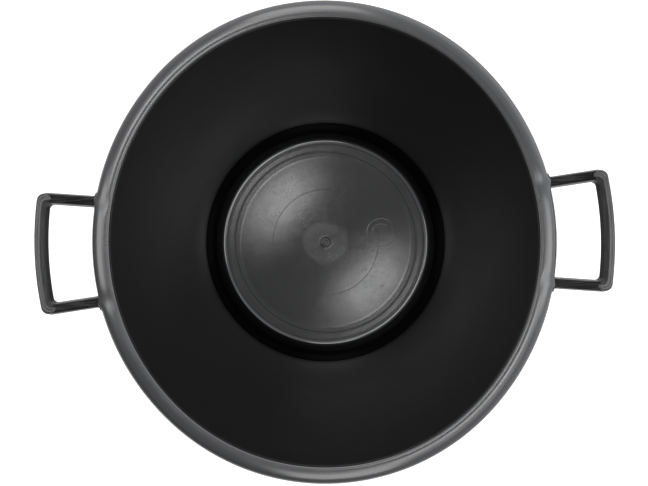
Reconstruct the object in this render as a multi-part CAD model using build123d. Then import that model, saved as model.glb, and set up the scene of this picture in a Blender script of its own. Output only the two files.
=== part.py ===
from build123d import *
from math import asin, atan, cos, degrees, hypot, radians, sin, sqrt, tan
import os

# Garden tub: a tapered tub with a round base, a slightly oval rolled rim and a loop handle at each end.
# It stands on its foot ring at Z 0 with its axis on Z. The handles point along +X and -X.

# Overall size
HEIGHT = 340.0  # ground to the crown of the rim
RIM_SPAN_X = 468.0  # outside of the rim from handle to handle
RIM_SPAN_Y = 487.0  # outside of the rim square to the handles

# Wall, base and floor
WALL = 4.0  # thickness of the wall and of the base corner
FLOOR_RADIUS = 136.0  # where the slope of the base corner meets the level of the flat
FLOOR_THICKNESS = 4.0
CORNER_RUN = 18.0  # base corner, from the flat out to the crease
CORNER_RISE = 39.0  # base corner, from the flat up to the crease
CORNER_FILLET = 7.5  # inside, where the base corner leaves the flat
FLOOR_SEAM = 5.3  # from there in to the edge of the floor disc
FLOOR_CROWN = 5.0  # rise of the floor's middle above its edge
FLOOR_CROWN_RADIUS = 113.0  # crowned part of the floor
FLOOR_CLEARANCE = 0.2  # round the floor disc
FLOOR_GROOVE_RADIUS = 120.5  # middle of the groove ring in the floor
FLOOR_GROOVE_WIDTH = 3.4
FLOOR_GROOVE_DEPTH = 0.9
GATE_RADIUS = 5.3  # round dimple of the moulding gate
GATE_DEPTH = 0.6
GATE_NUB_RADIUS = 1.8  # stub left in the dimple
FOOT_HEIGHT = 6.0
FOOT_WIDTH = 9.0
FOOT_DRAFT = 8.0  # degrees, each side of the foot ring

# Rim, measured from its outer edge
RIM_WIDTH = 17.8  # outer edge to the inside of the lip
CROWN_IN = 11.3  # crown of the roll from the outer edge
CROWN_DEPTH = 7.0  # height of the roll, from its crown down to the skirt
CROWN_DROP = 2.5  # from the crown down to where the inner face is upright
RIM_SHELL = 3.2  # thickness of the roll and its outer skirt
RIM_SEAT = 8.0  # top of the wall under the crown
SKIRT_MARGIN = 1.0  # skirt below the handle roots

# Handles
HANDLE_REACH = 58.0  # from the root faces out to the bar's outer face
ARM_DROP = 6.5  # top of the grip under the crown of the rim
HANDLE_DEPTH = 17.0  # height of the bar with its grip
ARM_STEP = 0.8  # top of the arms under the top of the grip
HANDLE_DRAFT = 5.7  # degrees, sides of the arms and the bar
LOOP_WIDTH = 12.2  # width of the arms and the bar at their lower edge
ROOT_SPREAD = 115.5  # over both arms at the roots
TIP_SPREAD = 127.0  # over both arms at the corners
BAR_BOW = 6.0  # how far the bar bows out past the corners
TIP_RADIUS = 8.0  # outer corners in plan
TIP_RADIUS_INSIDE = 5.0  # inner corners in plan
ROOT_STAND = 2.5  # root faces beyond the rim's widest point
ROOT_FLARE = 5.0  # how far each root pad widens to meet the skirt
GRIP_DEPTH = 7.0  # height of the grip over the core of the bar
GRIP_WRAP = 15.0  # how far the grip runs back along each arm from the corner
GRIP_TONGUE = 5.0  # length of the rounded end of the grip on each arm
GRIP_ROUND = 2.4  # rounding along the outer top edge of the grip
GRIP_ROUND_INSIDE = 5.6  # rounding along its inner top edge, where the fingers go round

# Heights
UNDERSIDE = FOOT_HEIGHT
FLOOR_TOP = UNDERSIDE + FLOOR_THICKNESS
CREASE = FLOOR_TOP + CORNER_RISE
WALL_TOP = HEIGHT - RIM_SEAT
ARM_TOP = HEIGHT - ARM_DROP
ARM_BOTTOM = ARM_TOP - HANDLE_DEPTH
SKIRT_BOTTOM = ARM_BOTTOM - SKIRT_MARGIN

# Plan sizes
RIM_HALF_X = RIM_SPAN_X / 2
RIM_HALF_Y = RIM_SPAN_Y / 2
CREASE_RADIUS = FLOOR_RADIUS + CORNER_RUN
SEAM_RADIUS = FLOOR_RADIUS - FLOOR_SEAM
ROOT_FACE = RIM_HALF_X + ROOT_STAND
BAR_TIP = ROOT_FACE + HANDLE_REACH
CORNER_X = BAR_TIP - BAR_BOW
ARM_SPLAY = (TIP_SPREAD - ROOT_SPREAD) / 2 / (CORNER_X - ROOT_FACE)
DRAFT_IN = HANDLE_DEPTH * tan(radians(HANDLE_DRAFT))  # how far each side leans in at the top


def oval_arcs(half_x, half_y):
    """The quarter arcs of a four-centre oval, each as centre x, centre y, radius and start angle.

    The centres lie so far from the middle that arcs which meet at 45 degrees share their tangents.
    """
    shift = (half_y - half_x) / (2 - sqrt(2))
    side = half_x + shift
    end = half_y - shift
    return [(-shift, 0, side, -45), (0, shift, end, 45), (shift, 0, side, 135), (0, -shift, end, 225)]


def oval(half_x, half_y, height):
    """A flat oval face at a height."""
    edges = [CenterArc((x, y), radius, start, 90) for x, y, radius, start in oval_arcs(half_x, half_y)]
    return Pos(0, 0, height) * make_face(edges)


def oval_block(half_x, half_y, low, high):
    """An upright solid of oval plan."""
    return extrude(oval(half_x, half_y, low), amount=high - low)


def tapered_block(radius, half_x, half_y):
    """A solid that runs from a circle at the crease to an oval at the top of the wall."""
    return loft([oval(radius, radius, CREASE), oval(half_x, half_y, WALL_TOP)], ruled=True)


def spun(*points):
    """A closed section of radius and height, turned about Z."""
    return revolve(make_face(Plane.XZ * Polyline(*points, close=True)), Axis.Z)


def make_tub_wall():
    inside_x = RIM_HALF_X - RIM_WIDTH
    inside_y = RIM_HALF_Y - RIM_WIDTH
    outside = tapered_block(CREASE_RADIUS + WALL, inside_x + WALL, inside_y + WALL)
    return outside - tapered_block(CREASE_RADIUS, inside_x, inside_y)


def make_base_corner():
    """The slanted band, as thick as the wall, from the flat of the inside up to the crease."""
    slope = CORNER_RISE / CORNER_RUN
    drop = WALL * hypot(1, slope)  # upright thickness of the slanted band
    outer_radius = CREASE_RADIUS + WALL
    section = Polyline(
        (SEAM_RADIUS, UNDERSIDE),
        (SEAM_RADIUS, FLOOR_TOP),
        (FLOOR_RADIUS, FLOOR_TOP),
        (CREASE_RADIUS, CREASE),
        (outer_radius, CREASE),
        (outer_radius, CREASE + WALL * slope - drop),
        (FLOOR_RADIUS + (drop - FLOOR_THICKNESS) / slope, UNDERSIDE),
        close=True,
    )
    face = make_face(section)
    flat_edge = face.vertices().sort_by_distance((FLOOR_RADIUS, FLOOR_TOP))[0]
    room = 0.95 * FLOOR_SEAM / tan(atan(slope) / 2)  # largest fillet that starts outside the seam
    return revolve(Plane.XZ * fillet(flat_edge, min(CORNER_FILLET, room)), Axis.Z)


def make_floor():
    """A crowned disc with a groove ring near its edge and a gate mark at its middle."""
    edge = SEAM_RADIUS - FLOOR_CLEARANCE
    middle_top = FLOOR_TOP + FLOOR_CROWN
    crown_round = (FLOOR_CROWN_RADIUS**2 + FLOOR_CROWN**2) / (2 * FLOOR_CROWN)
    sweep = degrees(asin(FLOOR_CROWN_RADIUS / crown_round))
    under, top = [
        CenterArc((0, flat + FLOOR_CROWN - crown_round), crown_round, 90 - sweep, sweep)
        for flat in (UNDERSIDE, FLOOR_TOP)
    ]
    edge_line = Polyline(under @ 0, (edge, UNDERSIDE), (edge, FLOOR_TOP), top @ 0)
    section = make_face([under, edge_line, top, Line(top @ 1, under @ 1)])
    disc = revolve(Plane.XZ * section, Axis.Z)
    groove = spun(
        (FLOOR_GROOVE_RADIUS - FLOOR_GROOVE_WIDTH / 2, FLOOR_TOP),
        (FLOOR_GROOVE_RADIUS, FLOOR_TOP - FLOOR_GROOVE_DEPTH),
        (FLOOR_GROOVE_RADIUS + FLOOR_GROOVE_WIDTH / 2, FLOOR_TOP),
    )
    dimple = spun(
        (GATE_NUB_RADIUS, middle_top),
        (GATE_NUB_RADIUS, middle_top - GATE_DEPTH),
        (GATE_RADIUS - GATE_DEPTH, middle_top - GATE_DEPTH),
        (GATE_RADIUS, middle_top),
    )
    return disc - groove - dimple


def make_foot_ring():
    """A rib under the seam of the floor, with drafted sides. It carries the floor and the corner."""
    lean = FOOT_HEIGHT * tan(radians(FOOT_DRAFT))
    inner = SEAM_RADIUS - FOOT_WIDTH / 2
    outer = SEAM_RADIUS + FOOT_WIDTH / 2
    return spun((inner + lean, 0), (outer - lean, 0), (outer, UNDERSIDE), (inner, UNDERSIDE))


def crown_quarter(width, depth, crown, start):
    """A quarter of an ellipse beside the crown of the roll, from its size, top and start angle."""
    return EllipticalCenterArc((-CROWN_IN, crown - depth), width, depth, start_angle=start, arc_size=90)


def rim_section():
    """Section of the rim, with X out from its edge and Y up from its crown: roll, skirt and inner face.

    The roll is a quarter of an ellipse outside its crown and a flatter quarter inside. Its hollow follows
    the outer quarter and is level inwards.
    """
    skirt_bottom = SKIRT_BOTTOM - HEIGHT
    roof_end = WALL - RIM_WIDTH
    skin = [
        crown_quarter(CROWN_IN, CROWN_DEPTH, 0, 0),
        crown_quarter(RIM_WIDTH - CROWN_IN, CROWN_DROP, 0, 90),
    ]
    hollow = crown_quarter(CROWN_IN - RIM_SHELL, CROWN_DEPTH - RIM_SHELL, -RIM_SHELL, 0)
    lip = Polyline(
        (-RIM_WIDTH, -CROWN_DROP),
        (-RIM_WIDTH, -RIM_SEAT),
        (roof_end, -RIM_SEAT),
        (roof_end, -RIM_SHELL),
        (-CROWN_IN, -RIM_SHELL),
    )
    skirt = Polyline(
        (-RIM_SHELL, -CROWN_DEPTH), (-RIM_SHELL, skirt_bottom), (0, skirt_bottom), (0, -CROWN_DEPTH)
    )
    return make_face([*skin, hollow, lip, skirt])


def beyond_roots(depth):
    """The space outside the root faces, from the lower edge of the handles up."""
    return Pos(ROOT_FACE, 0, ARM_BOTTOM) * Box(
        RIM_SPAN_X, RIM_SPAN_Y, depth, align=(Align.MIN, Align.CENTER, Align.MIN)
    )


def make_root_pad():
    """A pad on the skirt for the arm towards +X and +Y, with a flat face for it and flared sides."""
    outside = ROOT_SPREAD / 2
    inside = outside - LOOP_WIDTH
    past_face = ROOT_FACE + LOOP_WIDTH
    high = outside + ROOT_FLARE
    low = inside - ROOT_FLARE
    bury = RIM_SHELL / 4  # how deep the flares end in the skirt
    skirt_centre, _, skirt_radius, _ = oval_arcs(RIM_HALF_X, RIM_HALF_Y)[0]
    skirt_high = skirt_centre + sqrt(skirt_radius**2 - high**2) - bury
    skirt_low = skirt_centre + sqrt(skirt_radius**2 - low**2) - bury
    behind_skirt = skirt_high - LOOP_WIDTH
    arc_high = skirt_high + ROOT_FLARE
    arc_low = skirt_low + ROOT_FLARE
    arc_mid = ROOT_FLARE * (1 - sqrt(0.5))
    plan = make_face(
        [
            Polyline((arc_low, inside), (past_face, inside), (past_face, outside), (arc_high, outside)),
            ThreePointArc((arc_high, outside), (skirt_high + arc_mid, outside + arc_mid), (skirt_high, high)),
            Polyline((skirt_high, high), (behind_skirt, high), (behind_skirt, low), (skirt_low, low)),
            ThreePointArc((skirt_low, low), (skirt_low + arc_mid, inside - arc_mid), (arc_low, inside)),
        ]
    )
    pad = extrude(Pos(0, 0, ARM_BOTTOM) * plan, amount=HANDLE_DEPTH, taper=HANDLE_DRAFT)
    within_skirt = RIM_SHELL / 2
    inside_skirt = oval_block(RIM_HALF_X - within_skirt, RIM_HALF_Y - within_skirt, ARM_BOTTOM, ARM_TOP)
    return pad - beyond_roots(HANDLE_DEPTH) - inside_skirt


def make_rim_quarter(x, y, radius, start):
    """The rim's section turned a quarter about one centre of the oval."""
    outward = (cos(radians(start)), sin(radians(start)))
    plane = Plane(
        origin=(x + radius * outward[0], y + radius * outward[1], HEIGHT),
        x_dir=(outward[0], outward[1], 0),
        z_dir=(outward[1], -outward[0], 0),
    )
    return revolve(plane * rim_section(), Axis((x, y, 0), (0, 0, 1)), 90)


def make_rim():
    """The rolled rim, with a root pad for each of the four arms."""
    quarters = [make_rim_quarter(*arc) for arc in oval_arcs(RIM_HALF_X, RIM_HALF_Y)]
    pad = make_root_pad()
    pads = [pad, mirror(pad, Plane.XZ)]
    pads += [Rot(0, 0, 180) * one for one in pads]
    return quarters[0].fuse(*quarters[1:], *pads)


def loop_plan():
    """Plan of a handle at its lower edge: splayed arms and a bowed bar, closed off behind the root faces."""
    behind_root = 3 * LOOP_WIDTH
    back = ROOT_FACE - behind_root
    back_half = ROOT_SPREAD / 2 - ARM_SPLAY * behind_root
    tip_half = TIP_SPREAD / 2
    outline = make_face(
        [
            Polyline((CORNER_X, tip_half), (back, back_half), (back, -back_half), (CORNER_X, -tip_half)),
            ThreePointArc((CORNER_X, -tip_half), (BAR_TIP, 0), (CORNER_X, tip_half)),
        ]
    )
    opening = offset(outline, amount=-LOOP_WIDTH, kind=Kind.INTERSECTION)
    outline = fillet(outline.vertices().group_by(Axis.X)[-1], TIP_RADIUS)
    opening = fillet(opening.vertices().group_by(Axis.X)[-1], TIP_RADIUS_INSIDE)
    return outline - opening


def make_loop():
    """The outer form of a handle, with drafted sides, still closed off behind the root faces."""
    return extrude(Pos(0, 0, ARM_BOTTOM) * loop_plan(), amount=HANDLE_DEPTH, taper=HANDLE_DRAFT)


def grip_zone():
    """The space over the bar and its corners that the grip takes, with a rounded tongue along each arm."""
    tongue_tip = CORNER_X - GRIP_WRAP
    tongue_root = tongue_tip + GRIP_TONGUE
    arm_middle = (ROOT_SPREAD - LOOP_WIDTH) / 2 + ARM_SPLAY * (tongue_tip - ROOT_FACE)
    arm_out = arm_middle + LOOP_WIDTH / 2
    arm_in = arm_middle - LOOP_WIDTH / 2
    past_bar = BAR_TIP + LOOP_WIDTH
    plan = make_face(
        [
            Line((tongue_root, -arm_in), (tongue_root, arm_in)),
            ThreePointArc((tongue_root, arm_in), (tongue_tip, arm_middle), (tongue_root, arm_out)),
            Polyline(
                (tongue_root, arm_out),
                (tongue_root, TIP_SPREAD),
                (past_bar, TIP_SPREAD),
                (past_bar, -TIP_SPREAD),
                (tongue_root, -TIP_SPREAD),
                (tongue_root, -arm_out),
            ),
            ThreePointArc((tongue_root, -arm_out), (tongue_tip, -arm_middle), (tongue_root, -arm_in)),
        ]
    )
    return extrude(Pos(0, 0, ARM_TOP - GRIP_DEPTH) * plan, amount=2 * GRIP_DEPTH)


def make_bow(loop):
    """Both arms and the core of the bar, cut flat at the roots and a step lower than the grip."""
    return (loop & beyond_roots(HANDLE_DEPTH - ARM_STEP)) - grip_zone()


def make_grip(loop):
    """The cap over the bar, rounded along both of its top edges, more on the inside."""
    top_width = LOOP_WIDTH - 2 * DRAFT_IN
    outside = min(GRIP_ROUND, 0.3 * top_width, TIP_RADIUS - DRAFT_IN)
    inside = min(GRIP_ROUND_INSIDE, 0.65 * top_width)
    rounded = fillet(loop.faces().sort_by(Axis.Z)[-1].outer_wire().edges(), outside)
    opening = rounded.faces().sort_by(Axis.Z)[-1].inner_wires()[0]
    return fillet(opening.edges(), inside) & grip_zone()


loop = make_loop()
bow = make_bow(loop)
grip = make_grip(loop)
left = Rot(0, 0, 180)
parts = {
    "rim": make_rim(),
    "tub_wall": make_tub_wall(),
    "base_corner": make_base_corner(),
    "floor": make_floor(),
    "foot_ring": make_foot_ring(),
    "handle_bow_right": bow,
    "handle_bow_left": left * bow,
    "grip_right": grip,
    "grip_left": left * grip,
}
os.makedirs("parts", exist_ok=True)
for name, solid in parts.items():
    export_step(solid, f"parts/{name}.step")
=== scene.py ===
"""Looks of a black garden tub with a rolled oval rim and a flexing loop handle at each end.

Every piece is a surface worked out from the tub's own sizes, in millimetres, and put into a mesh in
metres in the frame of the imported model: +Z up, +X through the right handle, the ground at zero.
"""

import logging
import math
from dataclasses import dataclass, field, replace
from enum import Enum

import bpy
import numpy as np
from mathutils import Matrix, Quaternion, Vector


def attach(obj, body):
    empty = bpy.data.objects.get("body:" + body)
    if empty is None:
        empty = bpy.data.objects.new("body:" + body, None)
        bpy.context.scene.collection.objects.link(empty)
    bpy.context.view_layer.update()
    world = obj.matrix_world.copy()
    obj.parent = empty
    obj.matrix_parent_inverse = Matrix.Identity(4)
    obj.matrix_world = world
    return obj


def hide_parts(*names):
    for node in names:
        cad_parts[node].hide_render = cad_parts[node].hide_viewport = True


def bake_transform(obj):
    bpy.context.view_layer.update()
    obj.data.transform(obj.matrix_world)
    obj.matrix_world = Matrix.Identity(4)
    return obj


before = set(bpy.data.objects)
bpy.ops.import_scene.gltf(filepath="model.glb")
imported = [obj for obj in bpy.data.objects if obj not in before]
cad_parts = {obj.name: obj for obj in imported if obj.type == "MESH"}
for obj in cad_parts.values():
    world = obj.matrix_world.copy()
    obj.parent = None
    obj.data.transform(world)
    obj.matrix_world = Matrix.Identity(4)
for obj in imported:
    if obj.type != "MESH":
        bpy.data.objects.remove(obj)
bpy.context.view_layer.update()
LOG = logging.getLogger("garden_tub")
MM = 0.001
TURN = 2 * math.pi
Array = np.ndarray
Colour = tuple[float, float, float]
Span = tuple[float, float]
Piece = bpy.types.Object
Tree = bpy.types.NodeTree
Socket = bpy.types.NodeSocket
Sockets = bpy.types.bpy_prop_collection
Value = float | Colour | Socket


class Slot(Enum):
    """The record's material slots."""

    TUB = "tub_plastic"
    HANDLE = "handle_plastic"
    GRIP = "grip_plastic"


class Side(Enum):
    """The two ends of the tub, by the sign that their X carries."""

    RIGHT = 1
    LEFT = -1

    @property
    def word(self) -> str:
        """The side's name in lower case."""
        return self.name.lower()


class Axis(Enum):
    """The direction that streaks run in, by how much each axis is squeezed."""

    X = (0.05, 1.0, 1.0)
    Y = (1.0, 0.05, 1.0)


class End(Enum):
    """What the first and the last row of a grid of points do."""

    JOINED = "the last row joins the first"
    CAPPED = "each end row is closed by a fan about its middle"
    POLES = "each end row is a single point"


@dataclass(frozen=True)
class Bell:
    """A bell over a line: its height times e to the minus squared distance from its centre in widths."""

    height: float
    centre: float
    width: float

    def at(self, position: Array) -> Array:
        """Its height at these positions."""
        return self.height * np.exp(-(((position - self.centre) / self.width) ** 2))


@dataclass(frozen=True)
class Slope:
    """A smooth step over a line: its height times three squares less two cubes of the share of the way."""

    start: float
    end: float
    height: float = 1.0

    def at(self, position: Array) -> Array:
        """Its height at these positions: 0 up to the start, all of it from the end on."""
        share = np.clip((position - self.start) / (self.end - self.start), 0, 1)
        return self.height * (share * share * (3 - 2 * share))


def unit(angle: Array) -> Array:
    """Unit vectors in the XY plane at these angles: cosine and sine along a new last axis."""
    return np.stack([np.cos(angle), np.sin(angle)], axis=-1)


def rounded_loop(corners: Array, radii: list[float], steps: int) -> Array:
    """A closed outline with an arc in place of each corner.

    Each arc touches both sides of its corner: it starts the radius times the tangent of half the turn
    before the corner, and turns about a centre that lies the radius to the side of that start.

    Args:
        corners: x and y of the corners in order, one row each.
        radii: The radius of the arc at each corner.
        steps: How many points each arc gets.

    Returns:
        x and y of all points in order, one row each.
    """
    radius = np.array(radii)[:, None]
    ahead = np.roll(corners, -1, axis=0) - corners
    ahead /= np.linalg.norm(ahead, axis=1, keepdims=True)
    behind = np.roll(ahead, 1, axis=0)
    cross = behind[:, 0] * ahead[:, 1] - behind[:, 1] * ahead[:, 0]
    turn = np.arctan2(cross, np.sum(behind * ahead, axis=1))[:, None]
    start = corners - behind * radius * np.tan(np.abs(turn) / 2)
    to_centre = np.stack([-behind[:, 1], behind[:, 0]], axis=1) * np.sign(turn)
    centre = start + to_centre * radius
    first = np.arctan2(-to_centre[:, 1], -to_centre[:, 0])[:, None]
    angle = first + turn * np.linspace(0, 1, steps)
    return (centre[:, None] + radius[..., None] * unit(angle)).reshape(-1, 2)


def spread_points(loop: Array, step: float) -> Array:
    """The same closed line with points added on its straight runs, at even shares of its length.

    Args:
        loop: x and y of its points in order, one row each.
        step: About how far apart points may be. Added ones keep clear of those that are there.

    Returns:
        x and y of all points in order.
    """
    whole = np.vstack([loop, loop[:1]])
    length = np.concatenate([[0], np.cumsum(np.linalg.norm(np.diff(whole, axis=0), axis=1))])
    even = np.linspace(0, length[-1], int(np.ceil(length[-1] / step)) + 1)
    gap = np.abs(even[:, None] - length[None, :]).min(axis=1)
    at = np.sort(np.concatenate([length, even[gap > 0.4 * step]]))[:-1]
    return np.stack([np.interp(at, length, along) for along in whole.T], axis=1)


def piece_from_grid(name: str, points: Array, end: End) -> Piece:
    """Makes a smooth closed piece from a grid of points whose columns close on themselves.

    Each square of four neighbouring points is a face. The sign of the volume that the faces enclose
    tells whether they point outwards, and they are all turned if it is negative.

    Args:
        name: The piece's name.
        points: Rows by columns by three, in millimetres.
        end: How the rows end.

    Returns:
        The piece, linked to the scene, at the origin.
    """
    rows, columns = points.shape[:2]
    grid = np.arange(rows * columns).reshape(rows, columns)
    vertices = points.reshape(-1, 3) * MM
    if end is End.JOINED:
        grid = np.vstack([grid, grid[:1]])
        fans = np.zeros((0, 3), int)
    else:
        near, far = np.tile(len(vertices) + np.arange(2)[:, None], columns)
        vertices = np.vstack([vertices, points[0].mean(axis=0) * MM, points[-1].mean(axis=0) * MM])
        grid = grid[1:-1] if end is End.POLES else grid
        first, last = grid[0], grid[-1]
        fans = np.hstack([[near, np.roll(first, -1), first], [far, last, np.roll(last, -1)]]).T
    after = np.roll(grid, -1, axis=1)
    quads = np.stack([grid[:-1], after[:-1], after[1:], grid[1:]], axis=-1).reshape(-1, 4)
    used, packed = np.unique(np.concatenate([quads.ravel(), fans.ravel()]), return_inverse=True)
    vertices = vertices[used]
    quads, fans = packed[: quads.size].reshape(-1, 4), packed[quads.size :].reshape(-1, 3)
    triangles = np.vstack([quads[:, [0, 1, 2]], quads[:, [0, 2, 3]], fans])
    a, b, c = (vertices[triangles[:, k]] for k in range(3))
    if np.sum(a * np.cross(b, c)) < 0:
        quads, fans = quads[:, ::-1], fans[:, ::-1]
    mesh = bpy.data.meshes.new(name)
    mesh.from_pydata(vertices.tolist(), [], quads.tolist() + fans.tolist())
    mesh.polygons.foreach_set("use_smooth", np.ones(len(mesh.polygons), bool))
    mesh.update()
    piece = bpy.data.objects.new(name, mesh)
    bpy.context.scene.collection.objects.link(piece)
    return piece


@dataclass(frozen=True)
class Oval:
    """A four-centre oval, walked by the direction of its outward normal.

    Attributes:
        half_x: Half its span along X.
        half_y: Half its span along Y.
    """

    half_x: float
    half_y: float

    @property
    def shift(self) -> float:
        """How far each arc's centre lies from the middle, so that arcs share tangents at 45 degrees."""
        return (self.half_y - self.half_x) / (2 - math.sqrt(2))

    @property
    def side_radius(self) -> float:
        """The radius of the arcs that cross the X axis."""
        return self.half_x + self.shift

    def at(self, angle: Array) -> Array:
        """Points of the oval: the centre of the arc in each angle's quarter plus its radius that way.

        Args:
            angle: The angles of the outward normal.

        Returns:
            x and y of the points along a new last axis.
        """
        quarter = np.floor((angle + TURN / 8) / (TURN / 4)).astype(int) % 4
        centre = self.shift * np.array([(-1, 0), (0, 1), (1, 0), (0, -1)])[quarter]
        radius = np.where(quarter % 2 == 0, self.side_radius, self.half_y - self.shift)
        return centre + radius[..., None] * unit(angle)

    def side_x(self, y: Array) -> Array:
        """X of the arc that crosses +X, at these Y: its centre plus the circle's height there."""
        return -self.shift + np.sqrt(self.side_radius**2 - y**2)


RIM_EDGE = Oval(233.95, 243.42)  # outer edge of the rim, in millimetres


def carried_round(share: Array, out: Array, height: Array, angle: Array) -> Array:
    """A profile carried round the tub's axis.

    A point is its share of the rim edge's point at that normal angle, plus its distance outwards times
    the unit normal, at its height. A share of 1 follows the oval and a share of 0 makes a circle.

    Args:
        share: How far each profile point follows the oval.
        out: Its distance out along the normal, as a column or as one per point and angle.
        height: Its height, as a column or as one per point and angle.
        angle: The normal angles, one per column.

    Returns:
        Points as profile by angle by three.
    """
    flat = share[:, None, None] * RIM_EDGE.at(angle)[None] + out[..., None] * unit(angle)[None]
    high = np.broadcast_to(height, flat.shape[:2])
    return np.concatenate([flat, high[..., None]], axis=-1)


def turned(name: str, profile: Array, angle: Array, end: End = End.JOINED) -> Piece:
    """Makes a piece from a profile of distances and heights, turned about the tub's axis."""
    circle = np.zeros(len(profile))
    return piece_from_grid(name, carried_round(circle, profile[:, :1], profile[:, 1:], angle), end)


class Net:
    """Adds nodes to one tree, each wired as it is made."""

    def __init__(self, tree: Tree) -> None:
        """Keeps the tree that the nodes go into."""
        self.tree = tree

    @classmethod
    def group(
        cls, name: str, inputs: dict[str, str], outputs: tuple[str, ...]
    ) -> tuple["Net", Sockets, Sockets]:
        """Starts a node group.

        Args:
            name: The group's name.
            inputs: Socket types by name, in order.
            outputs: Names of the values that it puts out, in order.

        Returns:
            The net, the sockets that its inputs come out of, and those that its outputs go into.
        """
        tree = bpy.data.node_groups.new(name, "ShaderNodeTree")
        for socket, kind in inputs.items():
            tree.interface.new_socket(socket, in_out="INPUT", socket_type=f"NodeSocket{kind}")
        for socket in outputs:
            tree.interface.new_socket(socket, in_out="OUTPUT", socket_type="NodeSocketFloat")
        given = tree.nodes.new("NodeGroupInput").outputs
        return cls(tree), given, tree.nodes.new("NodeGroupOutput").inputs

    def feed(self, socket: Socket, value: Value) -> None:
        """Fills a socket.

        Args:
            socket: The socket.
            value: A constant to set it to, or another node's output to link to it.
        """
        if isinstance(value, (int, float, tuple)):
            socket.default_value = value
        else:
            self.tree.links.new(value, socket)

    def add(self, kind: str, inputs: dict[str | int, Value], **settings: object) -> bpy.types.Node:
        """Adds a node.

        Args:
            kind: Its type, without the leading ShaderNode.
            inputs: What goes into its sockets, by name or number.
            settings: Its own properties, which are set first.

        Returns:
            The node.
        """
        node = self.tree.nodes.new(f"ShaderNode{kind}")
        for setting, value in settings.items():
            setattr(node, setting, value)
        for socket, value in inputs.items():
            self.feed(node.inputs[socket], value)
        return node

    def use(self, group: Tree, **inputs: Value) -> Sockets:
        """Places a node group with these inputs, and returns its outputs."""
        return self.add("Group", inputs, node_tree=group).outputs

    def maths(self, operation: str, *values: Value, clamp: bool = False) -> Socket:
        """Adds a Math node on these values, kept between 0 and 1 if asked, and returns its output."""
        inputs = dict(enumerate(values))
        return self.add("Math", inputs, operation=operation, use_clamp=clamp).outputs[0]

    def times(self, first: Value, second: Value) -> Socket:
        """Adds the product of two values."""
        return self.maths("MULTIPLY", first, second)

    def more(self, base: Value, part: Value, weight: Value) -> Socket:
        """Adds the base plus a part times its weight."""
        return self.maths("MULTIPLY_ADD", part, weight, base)

    def blend(self, first: Value, second: Value, share: float) -> Socket:
        """Adds the first value times one less the share plus the second times the share."""
        return self.more(self.times(first, 1 - share), second, share)

    def noise(
        self, place: Socket, scale: Value, detail: float, rough: float = 0.5, line: bool = False
    ) -> Socket:
        """Adds noise at a vector, or at a value if it runs along a line, and returns its factor."""
        inputs = {"W" if line else "Vector": place, "Scale": scale, "Detail": detail, "Roughness": rough}
        return self.add("TexNoise", inputs, noise_dimensions="1D" if line else "3D").outputs[0]

    def ramp(self, value: Socket, low: float, high: float) -> Socket:
        """Adds a smooth Map Range node from low and high to 0 and 1, and returns its output."""
        inputs = {"Value": value, "From Min": low, "From Max": high}
        return self.add("MapRange", inputs, interpolation_type="SMOOTHSTEP").outputs[0]

    def split(self, vector: Socket) -> Sockets:
        """Adds a node that parts a vector, and returns its X, Y and Z."""
        return self.add("SeparateXYZ", {0: vector}).outputs

    def distance(self, parts: Sockets) -> Socket:
        """Adds the distance from the Z axis: the root of the sum of the squares of X and Y."""
        across, along = parts[0], parts[1]
        return self.maths("SQRT", self.more(self.times(along, along), across, across))

    def vectors(self, operation: str, first: Socket, second: Value) -> Sockets:
        """Adds a Vector Math node on two vectors, and returns its outputs."""
        return self.add("VectorMath", {0: first, 1: second}, operation=operation).outputs


@dataclass(frozen=True)
class Plastic:
    """One finish of the black polyethylene. Heights, depths and places are in millimetres.

    Attributes:
        name: The material's name.
        black: Linear colour of the plastic.
        scuffed: Linear colour where it is rubbed pale.
        scuffs: How much of the surface is rubbed, from 0 to 1.
        gloss: Roughness of its smooth places.
        dull: Roughness of its dull places.
        shine: Specular level.
        grain: Height of its fine grain.
        lines: Height of its turning lines.
        pitch: Turning lines per millimetre.
        flow: How strongly the plastic's flow from the gate streaks the gloss.
        blush: Radius of the cloudy patch about the gate, 0 for none.
        pits: Depth of its small pits.
        waves: Height of its slow unevenness.
        drawn: Height of the streaks that are left along a bar.
        grain_runs: The direction of those streaks.
        accent: Weight of the smooth skin where the piece's own "smooth" values are 1.
        stamp: X and Y of the two bare rings of a mould insert, if there are any.
    """

    name: str
    black: Colour
    scuffed: Colour
    scuffs: float
    gloss: float
    dull: float
    shine: float
    grain: float
    lines: float = 0.0
    pitch: float = 0.5
    flow: float = 0.0
    blush: float = 0.0
    pits: float = 0.0
    waves: float = 0.0
    drawn: float = 0.0
    grain_runs: Axis = Axis.Y
    accent: float = 0.0
    stamp: Span | None = None


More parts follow.
